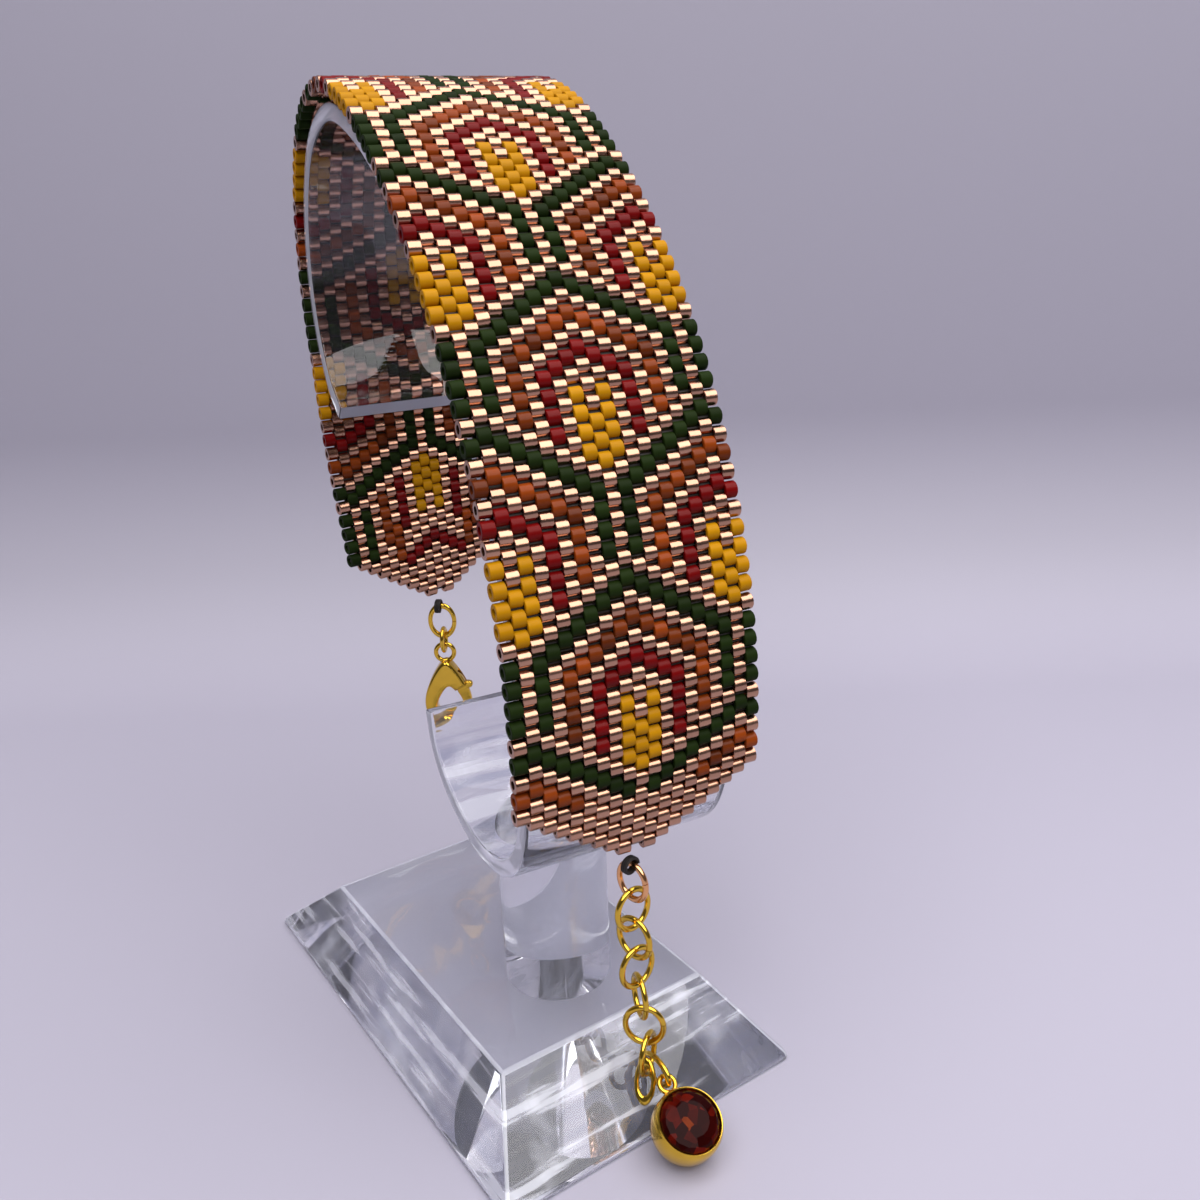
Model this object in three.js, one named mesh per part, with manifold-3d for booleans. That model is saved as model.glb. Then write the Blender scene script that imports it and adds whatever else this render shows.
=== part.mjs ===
// Peyote-woven bead bracelet draped over a clear acrylic display stand. Millimetres, +Z up.
// +X is the side the band hangs down in front, Y runs across the band, the stand rests on z = 0.
import * as THREE from "three";
import { mergeGeometries, mergeVertices } from "three/addons/utils/BufferGeometryUtils.js";
import { ConvexGeometry } from "three/addons/geometries/ConvexGeometry.js";
import Module from "manifold-3d";

const wasm = await Module();
wasm.setup();

// Stand base: a bevelled slab, turned a little under the cradle.
const BASE_LENGTH = 59.3;
const BASE_WIDTH = 36.4;
const BASE_TOP_LENGTH = 41.2;
const BASE_TOP_WIDTH = 25.8;
const BASE_LIP = 0.8;
const BASE_HEIGHT = 8.5;
const BASE_TURN = 8.7;

// Stand post and the fit between the glued acrylic pieces.
const POST_RADIUS = 6;
const POST_X = 9.5;
const POST_Y = 2.4;
const GAP = 0.3;

// Band: flat peyote of cylinder beads, both ends stepped in to a point.
const BAND_Y = 4.75;
const COLUMNS = 19;
const COLUMN_PITCH = 1.33;
const BEAD_DIAMETER = 1.66;
const BAND_WIDTH = COLUMNS * COLUMN_PITCH;
const TIP_COLUMNS = 3;
const POINT_DEPTH = 6.9;
const BAND_STATIONS = 78;
const FREE_END = { x: -31.4, from: 70, to: 46, turn: 15 };

// Centre line of the band from the front tip, over the top, to the back tip.
const DRAPE = [
  { x: 24.8, z: 31.4 },
  { x: 26.5, z: 41.5 },
  { x: 26.1, z: 51.8 },
  { x: 23.9, z: 61.8 },
  { x: 20.1, z: 71.6 },
  { x: 14.8, z: 80.5 },
  { x: 8.1, z: 88.5 },
  { x: 0.3, z: 95.3 },
  { x: -8.7, z: 100.8 },
  { x: -18.8, z: 103.1 },
  { x: -28.4, z: 99.9 },
  { x: -34.7, z: 91.5 },
  { x: -36.7, z: 81.0 },
  { x: -35.2, z: 70.2 },
  { x: -33.4, z: 60.0 },
  { x: -32.1, z: 50.2 },
  { x: -31.4, z: 40.4 },
];

// Outer face of the C-shaped cradle, from its lower end under the band and over to its upper end.
const CRADLE_WIDTH = 22.4;
const CRADLE_Y = 4.62;
const CRADLE_TURN = 1.25;
const CRADLE_THICKNESS = 2;
const CRADLE_STATIONS = 64;
const CRADLE = [
  { x: -3.9, z: 37.6 },
  { x: -3.0, z: 33.6 },
  { x: 0.2, z: 29.8 },
  { x: 5.5, z: 27.2 },
  { x: 11.5, z: 26.3 },
  { x: 17.4, z: 27.7 },
  { x: 21.7, z: 31.3 },
  { x: 24.0, z: 36.6 },
  { x: 24.9, z: 43.5 },
  { x: 24.4, z: 52.2 },
  { x: 22.3, z: 62.1 },
  { x: 18.5, z: 71.6 },
  { x: 13.2, z: 80.2 },
  { x: 6.6, z: 87.9 },
  { x: -1.2, z: 94.5 },
  { x: -9.7, z: 99.3 },
  { x: -18.7, z: 101.5 },
  { x: -27.0, z: 98.8 },
  { x: -32.4, z: 92.5 },
  { x: -35.0, z: 84.6 },
  { x: -34.6, z: 76.6 },
  { x: -31.6, z: 69.9 },
  { x: -28.0, z: 66.7 },
];

// Extender chain, top link first: centre and turn of each link about the vertical, in degrees.
const LINK_LENGTH = 5;
const LINK_WIDTH = 4.6;
const LINK_WIRE = 0.62;
const JUMP_RING_LENGTH = 4.6;
const JUMP_RING_WIDTH = 4.1;
const LINKS = [
  { name: "front_jump_ring", x: 24.55, y: 4.68, z: 27.9, turn: 20 },
  { name: "chain_link_1", x: 24.5, y: 4.64, z: 24.65, turn: 104 },
  { name: "chain_link_2", x: 24.6, y: 4.66, z: 21.27, turn: 22 },
  { name: "chain_link_3", x: 24.85, y: 4.75, z: 17.88, turn: 103 },
  { name: "chain_link_4", x: 25.2, y: 4.8, z: 14.52, turn: -10 },
  { name: "chain_link_5", x: 25.75, y: 4.95, z: 11.17, turn: 52 },
  { name: "chain_link_6", x: 26.21, y: 5.03, z: 7.88, turn: 132 },
];

// Rings that run between two points inside their neighbours; side is a direction across each ring.
const DROP_RING = {
  wire: 0.6,
  width: 3.5,
  from: { x: 24.65, y: 5.28, z: 5.76 },
  to: { x: 29.21, y: 5.72, z: 6.69 },
  side: { x: -0.1, y: 0.98, z: 0 },
};
const END_LINK = {
  wire: 0.5,
  width: 2.4,
  from: { x: 26.29, y: 4.78, z: 6.92 },
  to: { x: 27.84, y: 3.6, z: 3.7 },
  side: { x: -0.54, y: 0.74, z: -0.38 },
};

// Thread loops that tie the end rings to the tips.
const THREAD_WIRE = 0.4;
const THREAD_LENGTH = 2.2;
const THREAD_WIDTH = 2.4;
const FRONT_THREAD = { x: 24.7, z: 29.98 };
const BACK_THREAD_Z = 38.98;

// Drop: a round stone in a cup, lying back against the base on the last ring of the chain.
const STONE_RADIUS = 3.0;
const CUP_RADIUS = 3.6;
const CUP_DEPTH = 3.6;
const CUP_FLOOR = 1.1;
const DROP_FACE = { x: 33.8, y: 5.7, z: 5.25 };
const DROP_TILT = 60;
const LOOP_REACH = 4.45;
const LOOP_RADIUS = 0.85;
const LOOP_WIRE = 0.5;

// Clasp side: ring, small link and a lobster clasp hanging from the back tip.
const BACK_X = -31.4;
const BACK_RING_Z = 36.75;
const BACK_LINK_Z = 33.98;
const BACK_LINK_LENGTH = 3.7;
const CLASP_Z = 26.3;
const CLASP_TURN = 64;
const CLASP_THICKNESS = 2.5;
const CLASP_HALF_WIDTH = 3;
const CLASP_HALF_HEIGHT = 4.7;
const CLASP_TAPER = 0.45;
const CLASP_HOLLOW = { u: 0.25, v: -1.4, halfWidth: 1.7, halfHeight: 2.3 };
const EYE = { v: 5.8, radius: 1.25, wire: 0.6 };
const LEVER_THICKNESS = 0.9;
const OUTLINE_POINTS = 30;
const LEVER_HUB = { u: 1.2, v: 2.2, radius: 0.62 };

const ACRYLIC = { color: 0xe9edf5, roughness: 0.06, metalness: 0 };
const BEADWORK = { color: 0xb98f6e, roughness: 0.4, metalness: 0.3 };
const GOLD = { color: 0xd9ae3c, roughness: 0.25, metalness: 1 };
const ROSE_GOLD = { color: 0xd9a06a, roughness: 0.25, metalness: 1 };
const THREAD = { color: 0x17120f, roughness: 0.9, metalness: 0 };
const STONE = { color: 0x4a120c, roughness: 0.05, metalness: 0 };

const group = new THREE.Group();
group.name = "beaded_bracelet_on_stand";

function bare(geometry) {
  const copy = geometry.index ? geometry.toNonIndexed() : geometry.clone();
  for (const key of Object.keys(copy.attributes)) {
    if (key !== "position") copy.deleteAttribute(key);
  }
  return mergeVertices(copy, 1e-4);
}

function toManifold(geometry) {
  const merged = bare(geometry);
  return new wasm.Manifold(
    new wasm.Mesh({
      numProp: 3,
      vertProperties: new Float32Array(merged.attributes.position.array),
      triVerts: new Uint32Array(merged.index.array),
    }),
  );
}

function fromManifold(solid) {
  const mesh = solid.getMesh();
  const geometry = new THREE.BufferGeometry();
  geometry.setAttribute("position", new THREE.BufferAttribute(new Float32Array(mesh.vertProperties), 3));
  geometry.setIndex(Array.from(mesh.triVerts));
  return geometry;
}

function joined(first, ...others) {
  return fromManifold(others.reduce((sum, g) => sum.add(toManifold(g)), toManifold(first)));
}

function cut(first, ...others) {
  return fromManifold(others.reduce((rest, g) => rest.subtract(toManifold(g)), toManifold(first)));
}

function piece(name, geometry, look) {
  const flat = bare(geometry).toNonIndexed();
  flat.computeVertexNormals();
  const mesh = new THREE.Mesh(flat, new THREE.MeshStandardMaterial(look));
  mesh.name = name;
  group.add(mesh);
}

function box(width, depth, height, x, y, z) {
  const geometry = new THREE.BoxGeometry(width, depth, height);
  geometry.translate(x, y, z);
  return geometry;
}

// Evenly spaced points along a table of stations, each with its outward normal in the XZ plane.
function stations(table, count) {
  const rows = table.map((row) => new THREE.Vector3(row.x, 0, row.z));
  const curve = new THREE.CatmullRomCurve3(rows, false, "centripetal");
  curve.arcLengthDivisions = 800;
  const list = [];
  for (let i = 0; i <= count; i += 1) {
    const point = curve.getPointAt(i / count);
    const along = curve.getTangentAt(i / count);
    list.push({ x: point.x, z: point.z, tx: along.x, tz: along.z, nx: along.z, nz: -along.x });
  }
  return list;
}

// A strip that follows the stations, between two offsets along their normals, centred across y.
function strip(list, inner, outer, width, y) {
  const shape = new THREE.Shape();
  list.forEach((s, i) => {
    const x = s.x + s.nx * outer;
    const z = s.z + s.nz * outer;
    if (i === 0) shape.moveTo(x, z);
    else shape.lineTo(x, z);
  });
  for (const s of [...list].reverse()) {
    shape.lineTo(s.x + s.nx * inner, s.z + s.nz * inner);
  }
  const geometry = new THREE.ExtrudeGeometry(shape, { depth: width, bevelEnabled: false });
  geometry.rotateX(Math.PI / 2);
  geometry.translate(0, y + width / 2, 0);
  return geometry;
}

// The prism outside the slanted edge of a pointed band end, on one side of the band.
function endCut(s, inward, side) {
  const half = BAND_WIDTH / 2;
  const tip = (TIP_COLUMNS * COLUMN_PITCH) / 2;
  const corner = new THREE.Shape();
  corner.moveTo(tip, -3);
  corner.lineTo(tip, 0);
  corner.lineTo(half + 1, (POINT_DEPTH * (half + 1 - tip)) / (half - tip));
  corner.lineTo(half + 1, -3);
  corner.closePath();
  const geometry = new THREE.ExtrudeGeometry(corner, { depth: 8, bevelEnabled: false });
  geometry.translate(0, 0, -4);
  const across = new THREE.Vector3(0, side, 0);
  const along = new THREE.Vector3(s.tx * inward, 0, s.tz * inward);
  const through = new THREE.Vector3().crossVectors(across, along);
  const place = new THREE.Matrix4().makeBasis(across, along, through);
  place.setPosition(s.x, BAND_Y, s.z);
  geometry.applyMatrix4(place);
  return geometry;
}

// The free end behind the cradle hangs turned a little about the vertical.
function turnFreeEnd(geometry) {
  const points = geometry.attributes.position;
  for (let i = 0; i < points.count; i += 1) {
    const drop = points.getX(i) < 0 ? FREE_END.from - points.getZ(i) : 0;
    const share = THREE.MathUtils.smoothstep(drop, 0, FREE_END.from - FREE_END.to);
    const angle = THREE.MathUtils.degToRad(FREE_END.turn) * share;
    const x = points.getX(i) - FREE_END.x;
    const y = points.getY(i) - BAND_Y;
    points.setX(i, FREE_END.x + x * Math.cos(angle) - y * Math.sin(angle));
    points.setY(i, BAND_Y + x * Math.sin(angle) + y * Math.cos(angle));
  }
  return geometry;
}

function band() {
  const list = stations(DRAPE, BAND_STATIONS);
  const body = strip(list, -BEAD_DIAMETER / 2, BEAD_DIAMETER / 2, BAND_WIDTH, BAND_Y);
  const first = list[0];
  const last = list[list.length - 1];
  const ends = [endCut(first, 1, 1), endCut(first, 1, -1), endCut(last, -1, 1), endCut(last, -1, -1)];
  return turnFreeEnd(cut(body, ...ends));
}

// The cradle stands turned a little from the band.
function cradle(list, inner, outer, width) {
  const geometry = strip(list, inner, outer, width, 0);
  geometry.rotateZ(THREE.MathUtils.degToRad(CRADLE_TURN));
  geometry.translate(0, CRADLE_Y, 0);
  return geometry;
}

// A slab with a short upright lip and four flat bevels.
function base() {
  const rings = [
    { length: BASE_LENGTH, width: BASE_WIDTH, z: 0 },
    { length: BASE_LENGTH, width: BASE_WIDTH, z: BASE_LIP },
    { length: BASE_TOP_LENGTH, width: BASE_TOP_WIDTH, z: BASE_HEIGHT },
  ];
  const points = [];
  for (const ring of rings) {
    for (const sx of [-1, 1]) {
      for (const sy of [-1, 1]) {
        points.push(new THREE.Vector3((sx * ring.length) / 2, (sy * ring.width) / 2, ring.z));
      }
    }
  }
  const geometry = new ConvexGeometry(points);
  geometry.rotateZ(THREE.MathUtils.degToRad(BASE_TURN));
  return geometry;
}

// The post reaches up to the underside of the cradle and is shaped to it.
function post(list) {
  const top = 32;
  const bottom = BASE_HEIGHT + GAP;
  const geometry = new THREE.CylinderGeometry(POST_RADIUS, POST_RADIUS, top - bottom, 32);
  geometry.rotateX(Math.PI / 2);
  geometry.translate(POST_X, POST_Y, (top + bottom) / 2);
  const under = cradle(list, -12, GAP, 3 * CRADLE_WIDTH);
  return cut(geometry, under);
}

// An oval ring of round wire standing upright, turned about the vertical.
function ring(length, width, wire, turn, x, y, z) {
  const radius = (width - wire) / 2;
  const geometry = new THREE.TorusGeometry(radius, wire / 2, 6, 16);
  geometry.scale(1, (length - wire) / (width - wire), 1);
  geometry.rotateX(Math.PI / 2);
  geometry.rotateZ(THREE.MathUtils.degToRad(turn));
  geometry.translate(x, y, z);
  return geometry;
}

// Places drop parts: their own +Z is the stone's axis, their +X points to the loop.
function dropPlace() {
  const tilt = THREE.MathUtils.degToRad(DROP_TILT);
  const axis = new THREE.Vector3(Math.cos(tilt), 0, Math.sin(tilt));
  const loop = new THREE.Vector3(-Math.sin(tilt), 0, Math.cos(tilt));
  const across = new THREE.Vector3().crossVectors(axis, loop);
  const place = new THREE.Matrix4().makeBasis(loop, across, axis);
  place.setPosition(DROP_FACE.x, DROP_FACE.y, DROP_FACE.z);
  return place;
}

function setting() {
  const recess = STONE_RADIUS + GAP;
  const profile = [
    [0, -CUP_DEPTH],
    [CUP_RADIUS - 0.7, -CUP_DEPTH],
    [CUP_RADIUS, 0.8 - CUP_DEPTH],
    [CUP_RADIUS, -0.1],
    [CUP_RADIUS - 0.1, 0],
    [recess, 0],
    [recess, CUP_FLOOR - CUP_DEPTH],
    [0, CUP_FLOOR - CUP_DEPTH],
  ];
  const cup = new THREE.LatheGeometry(profile.map(([r, h]) => new THREE.Vector2(r, h)), 32);
  cup.rotateX(Math.PI / 2);
  const loop = new THREE.TorusGeometry(LOOP_RADIUS, LOOP_WIRE / 2, 6, 16);
  loop.translate(LOOP_REACH, 0, -CUP_DEPTH / 2);
  const geometry = joined(cup, loop);
  geometry.applyMatrix4(dropPlace());
  return geometry;
}

// Round cut: table, crown and girdle over a shallow foiled back.
function stone() {
  const rings = [
    { radius: 0.55, height: 0.45, sides: 8, turn: 0 },
    { radius: 0.84, height: 0.2, sides: 8, turn: 22.5 },
    { radius: 1, height: -0.25, sides: 16, turn: 11.25 },
    { radius: 1, height: -0.5, sides: 16, turn: 11.25 },
    { radius: 0.45, height: -1.9, sides: 8, turn: 0 },
  ];
  const points = [];
  for (const r of rings) {
    for (let i = 0; i < r.sides; i += 1) {
      const a = THREE.MathUtils.degToRad(r.turn + (360 * i) / r.sides);
      const radius = r.radius * STONE_RADIUS;
      points.push(new THREE.Vector3(radius * Math.cos(a), radius * Math.sin(a), r.height));
    }
  }
  const geometry = new ConvexGeometry(points);
  geometry.applyMatrix4(dropPlace());
  return geometry;
}

// An oval ring of round wire whose ends are centred on two given points.
function ringBetween(row) {
  const from = new THREE.Vector3(row.from.x, row.from.y, row.from.z);
  const to = new THREE.Vector3(row.to.x, row.to.y, row.to.z);
  const long = new THREE.Vector3().subVectors(to, from);
  const radius = (row.width - row.wire) / 2;
  const geometry = new THREE.TorusGeometry(radius, row.wire / 2, 6, 16);
  geometry.scale(1, long.length() / (2 * radius), 1);
  long.normalize();
  const side = new THREE.Vector3(row.side.x, row.side.y, row.side.z);
  const across = new THREE.Vector3().crossVectors(long, side).normalize();
  const axis = new THREE.Vector3().crossVectors(across, long);
  const place = new THREE.Matrix4().makeBasis(across, long, axis);
  place.setPosition(from.add(to).multiplyScalar(0.5));
  geometry.applyMatrix4(place);
  return geometry;
}

function ellipse(u, v, a, b) {
  return egg(u, v, a, b, 0);
}

// An oval outline that is narrower above, by the taper.
function egg(u, v, a, b, taper) {
  const shape = new THREE.Shape();
  for (let i = 0; i < OUTLINE_POINTS; i += 1) {
    const angle = (2 * Math.PI * i) / OUTLINE_POINTS;
    const across = a * Math.cos(angle) * (1 - taper * Math.sin(angle));
    const up = b * Math.sin(angle);
    if (i === 0) shape.moveTo(u + across, v + up);
    else shape.lineTo(u + across, v + up);
  }
  shape.closePath();
  return shape;
}

function plate(shape, thickness) {
  const geometry = new THREE.ExtrudeGeometry(shape, { depth: thickness, bevelEnabled: false, curveSegments: 28 });
  geometry.translate(0, 0, -thickness / 2);
  return geometry;
}

// Clasp parts are drawn in u (across), v (up) and w (through), then stood up and turned.
function claspPlace(geometry) {
  geometry.rotateX(Math.PI / 2);
  geometry.rotateZ(THREE.MathUtils.degToRad(CLASP_TURN));
  geometry.translate(BACK_X, BAND_Y, CLASP_Z);
  return geometry;
}

function claspOutline(thickness) {
  return plate(egg(0, 0, CLASP_HALF_WIDTH, CLASP_HALF_HEIGHT, CLASP_TAPER), thickness);
}

function claspHollow() {
  const h = CLASP_HOLLOW;
  return plate(egg(h.u, h.v, h.halfWidth, h.halfHeight, CLASP_TAPER), 2 * CLASP_THICKNESS);
}

function claspBody() {
  const gate = box(3, 4, 6, 2.6, -1, 0);
  const slot = box(4.2, 2.9, LEVER_THICKNESS + 2 * GAP, 1.9, 1.65, 0);
  const eye = new THREE.TorusGeometry(EYE.radius, EYE.wire / 2, 6, 16);
  eye.translate(0, EYE.v, 0);
  const rivet = new THREE.CylinderGeometry(0.4, 0.4, 0.3, 12);
  rivet.rotateX(Math.PI / 2);
  rivet.translate(LEVER_HUB.u, LEVER_HUB.v, CLASP_THICKNESS / 2);
  const other = rivet.clone().translate(0, 0, -CLASP_THICKNESS);
  const body = cut(claspOutline(CLASP_THICKNESS), claspHollow(), gate, slot);
  return claspPlace(joined(body, eye, rivet, other));
}

function claspLever() {
  const side = box(3, 4.9, 6, 2.9, -0.25, 0);
  const blank = cut(claspOutline(LEVER_THICKNESS), claspHollow());
  const arm = fromManifold(toManifold(blank).intersect(toManifold(side)));
  const hub = plate(ellipse(LEVER_HUB.u, LEVER_HUB.v, LEVER_HUB.radius, LEVER_HUB.radius), LEVER_THICKNESS);
  const thumb = plate(ellipse(2.85, 0.9, 0.65, 0.5), LEVER_THICKNESS);
  return claspPlace(joined(arm, hub, thumb));
}

const cradleLine = stations(CRADLE, CRADLE_STATIONS);
piece("stand_base", base(), ACRYLIC);
piece("stand_post", post(cradleLine), ACRYLIC);
piece("stand_cradle", cradle(cradleLine, -CRADLE_THICKNESS, 0, CRADLE_WIDTH), ACRYLIC);
piece("beaded_band", band(), BEADWORK);
const threadLoop = ring(THREAD_LENGTH, THREAD_WIDTH, THREAD_WIRE, 110, FRONT_THREAD.x, BAND_Y, FRONT_THREAD.z);
piece("front_thread_loop", threadLoop, THREAD);
for (const link of LINKS) {
  const jump = link.name === "front_jump_ring";
  const length = jump ? JUMP_RING_LENGTH : LINK_LENGTH;
  const width = jump ? JUMP_RING_WIDTH : LINK_WIDTH;
  piece(link.name, ring(length, width, LINK_WIRE, link.turn, link.x, link.y, link.z), jump ? ROSE_GOLD : GOLD);
}
piece("chain_end_link", ringBetween(END_LINK), GOLD);
piece("drop_ring", ringBetween(DROP_RING), GOLD);
piece("drop_setting", setting(), GOLD);
piece("drop_stone", stone(), STONE);
piece("back_thread_loop", ring(THREAD_LENGTH, THREAD_WIDTH, THREAD_WIRE, 150, BACK_X, BAND_Y, BACK_THREAD_Z), THREAD);
piece("back_ring", ring(LINK_LENGTH, 3.9, LINK_WIRE, 64, BACK_X, BAND_Y, BACK_RING_Z), GOLD);
piece("back_link", ring(BACK_LINK_LENGTH, 3.2, 0.6, 150, BACK_X, BAND_Y, BACK_LINK_Z), GOLD);
piece("clasp_body", claspBody(), GOLD);
piece("clasp_lever", claspLever(), GOLD);

export default group;
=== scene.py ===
"""Bead-woven bracelet with an extender chain and a lobster clasp, draped over a clear display stand."""

import math
import random

import bpy
from mathutils import Matrix, Vector


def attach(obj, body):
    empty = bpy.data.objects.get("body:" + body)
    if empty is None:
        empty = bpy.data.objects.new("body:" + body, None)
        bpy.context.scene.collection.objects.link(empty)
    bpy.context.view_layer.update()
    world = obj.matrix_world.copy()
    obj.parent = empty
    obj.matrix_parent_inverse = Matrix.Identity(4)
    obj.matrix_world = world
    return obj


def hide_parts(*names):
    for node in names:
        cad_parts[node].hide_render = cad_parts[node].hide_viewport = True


bl_info = {
    "name": "Beaded bracelet",
    "version": (1, 0, 0),
    "blender": (4, 5, 0),
    "location": "View3D > Sidebar > Bracelet",
    "description": "Builds a bead-woven bracelet on a clear display stand around its packed frame",
    "category": "Object",
}

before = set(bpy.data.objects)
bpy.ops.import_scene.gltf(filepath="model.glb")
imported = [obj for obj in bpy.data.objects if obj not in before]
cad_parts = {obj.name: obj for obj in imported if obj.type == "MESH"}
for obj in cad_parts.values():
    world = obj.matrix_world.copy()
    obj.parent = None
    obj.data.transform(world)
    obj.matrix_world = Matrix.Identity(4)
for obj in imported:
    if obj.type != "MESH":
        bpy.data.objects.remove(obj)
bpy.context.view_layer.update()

MM = 0.001
BODY = "stand_and_bracelet"
LEVER = "lever"

# Band: middle line of the drape in the XZ plane, from the front tip over the cradle to the back tip, in mm.
BAND_Y = 4.75
COLUMNS = 19
COLUMN_PITCH = 1.33
FIRST_ROW = 64
LAST_ROW = -130
END_MARGIN = 0.4
FRONT_STEP = 0.88
CREST_ROW = -20
FREE_END = {"x": -31.4, "from": 70.0, "to": 46.0, "turn": 15.0}
DRAPE = [
    {"x": 24.8, "z": 31.4},
    {"x": 26.5, "z": 41.5},
    {"x": 26.1, "z": 51.8},
    {"x": 23.9, "z": 61.8},
    {"x": 20.1, "z": 71.6},
    {"x": 14.8, "z": 80.5},
    {"x": 8.1, "z": 88.5},
    {"x": 0.3, "z": 95.3},
    {"x": -8.7, "z": 100.8},
    {"x": -18.8, "z": 103.1},
    {"x": -28.4, "z": 99.9},
    {"x": -34.7, "z": 91.5},
    {"x": -36.7, "z": 81.0},
    {"x": -35.2, "z": 70.2},
    {"x": -33.4, "z": 60.0},
    {"x": -32.1, "z": 50.2},
    {"x": -31.4, "z": 40.4},
]

# Cradle: outer face of the C-shaped strip, from its lower end round to its upper end.
CRADLE_WIDTH = 22.4
CRADLE_Y = 4.62
CRADLE_TURN = 1.25
CRADLE_THICKNESS = 2.0
CRADLE = [
    {"x": -3.9, "z": 37.6},
    {"x": -3.0, "z": 33.6},
    {"x": 0.2, "z": 29.8},
    {"x": 5.5, "z": 27.2},
    {"x": 11.5, "z": 26.3},
    {"x": 17.4, "z": 27.7},
    {"x": 21.7, "z": 31.3},
    {"x": 24.0, "z": 36.6},
    {"x": 24.9, "z": 43.5},
    {"x": 24.4, "z": 52.2},
    {"x": 22.3, "z": 62.1},
    {"x": 18.5, "z": 71.6},
    {"x": 13.2, "z": 80.2},
    {"x": 6.6, "z": 87.9},
    {"x": -1.2, "z": 94.5},
    {"x": -9.7, "z": 99.3},
    {"x": -18.7, "z": 101.5},
    {"x": -27.0, "z": 98.8},
    {"x": -32.4, "z": 92.5},
    {"x": -35.0, "z": 84.6},
    {"x": -34.6, "z": 76.6},
    {"x": -31.6, "z": 69.9},
    {"x": -28.0, "z": 66.7},
]

# Stand base, and post from inside the base up into the cradle's underside.
BASE_LENGTH = 59.3
BASE_WIDTH = 36.4
BASE_TOP_LENGTH = 41.2
BASE_TOP_WIDTH = 25.8
BASE_LIP = 0.8
BASE_HEIGHT = 8.5
BASE_TURN = 8.7
POST = {"x": 9.5, "y": 2.4, "radius": 6.0, "low": 6.5, "high": 28.2}

# Where the stand's faces are told apart, in mm: painted light over the base and the post lies below the foot, the sawn
# end between its two heights, and the lower arm's painted glints and streaks below its top and behind its front.
STAND_ZONES = {"foot": 26.2, "end_low": 60.0, "end_high": 70.0, "arm_top": 45.0, "arm_front": 20.0}
# Share of white frost over the base's top and lip and the post below the foot: painted light for the light that passes
# through the clear stand.
PAINTED_LIGHT_LIFT = 0.34
# Share of white frost on the base's rounded hips and top edges: painted highlights.
HIP_HIGHLIGHT = 0.9
# Share of painted reflection streaks on the base's side slopes, against 1 on its front and back slopes.
SIDE_STREAK_SHARE = 0.8

# Extender chain: centre of each link and its turn about the vertical, in degrees.
LINK_LENGTH = 5.0
LINK_WIDTH = 4.6
LINK_WIRE = 0.62
JUMP_RING_LENGTH = 4.6
JUMP_RING_WIDTH = 4.1
LINKS = [
    {"name": "front_jump_ring", "x": 24.55, "y": 4.68, "z": 27.9, "turn": 20},
    {"name": "chain_link_1", "x": 24.5, "y": 4.64, "z": 24.65, "turn": 104},
    {"name": "chain_link_2", "x": 24.6, "y": 4.66, "z": 21.27, "turn": 22},
    {"name": "chain_link_3", "x": 24.85, "y": 4.75, "z": 17.88, "turn": 103},
    {"name": "chain_link_4", "x": 25.2, "y": 4.8, "z": 14.52, "turn": -10},
    {"name": "chain_link_5", "x": 25.75, "y": 4.95, "z": 11.17, "turn": 52},
    {"name": "chain_link_6", "x": 26.21, "y": 5.03, "z": 7.88, "turn": 132},
]

# Rings that run from inside one neighbour to inside the next; side is a direction across each ring.
DROP_RING = {
    "wire": 0.6,
    "width": 3.5,
    "from": (24.65, 5.28, 5.76),
    "to": (29.21, 5.72, 6.69),
    "side": (-0.1, 0.98, 0),
}
END_LINK = {
    "wire": 0.5,
    "width": 2.4,
    "from": (26.29, 4.78, 6.92),
    "to": (27.84, 3.6, 3.7),
    "side": (-0.54, 0.74, -0.38),
}

# Drop: a round stone in a cup, leaning back against the base.
STONE_RADIUS = 3.0
CUP_RADIUS = 3.6
CUP_DEPTH = 3.6
CUP_FLOOR = 1.1
CUP_RECESS = STONE_RADIUS + 0.15
CUP_PROFILE = [
    (1.9, -CUP_DEPTH),
    (CUP_RADIUS - 0.75, -CUP_DEPTH + 0.06),
    (CUP_RADIUS - 0.3, -CUP_DEPTH + 0.35),
    (CUP_RADIUS - 0.05, -CUP_DEPTH + 0.95),
    (CUP_RADIUS, -1.7),
    (CUP_RADIUS - 0.05, -0.7),
    (CUP_RADIUS - 0.2, -0.2),
    (CUP_RECESS + 0.12, 0.0),
    (CUP_RECESS + 0.02, -0.03),
    (CUP_RECESS - 0.05, -0.16),
    (CUP_RECESS, -0.5),
    (1.6, CUP_FLOOR - CUP_DEPTH),
]
DROP_FACE = (33.8, 5.7, 5.25)
DROP_TILT = 60.0
LOOP_REACH = 4.45
LOOP_RADIUS = 0.85
LOOP_WIRE = 0.5

# Stone: girdle, and the rings of its crown and pavilion as share of the girdle's radius, rise and twist in degrees.
GIRDLE = {"spare": 0.08, "height": 0.25, "z": -0.3}
STONE_RINGS = {
    1: [(0.86, 0.42, 11.25), (0.58, 0.28, 0.0)],
    -1: [(0.5, -0.95, 0.0), (0.16, -0.45, 0.0)],
}
# Darker tones of the stone's own red, ending in painted orange glints that stand for its fire.
STONE_TONES_AND_GLINTS = [
    (0.0, (0.006, 0.0006, 0.0006, 1)),
    (0.60, (0.026, 0.0016, 0.001, 1)),
    (0.80, (0.13, 0.006, 0.002, 1)),
    (1.0, (0.60, 0.12, 0.01, 1)),
]

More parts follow.
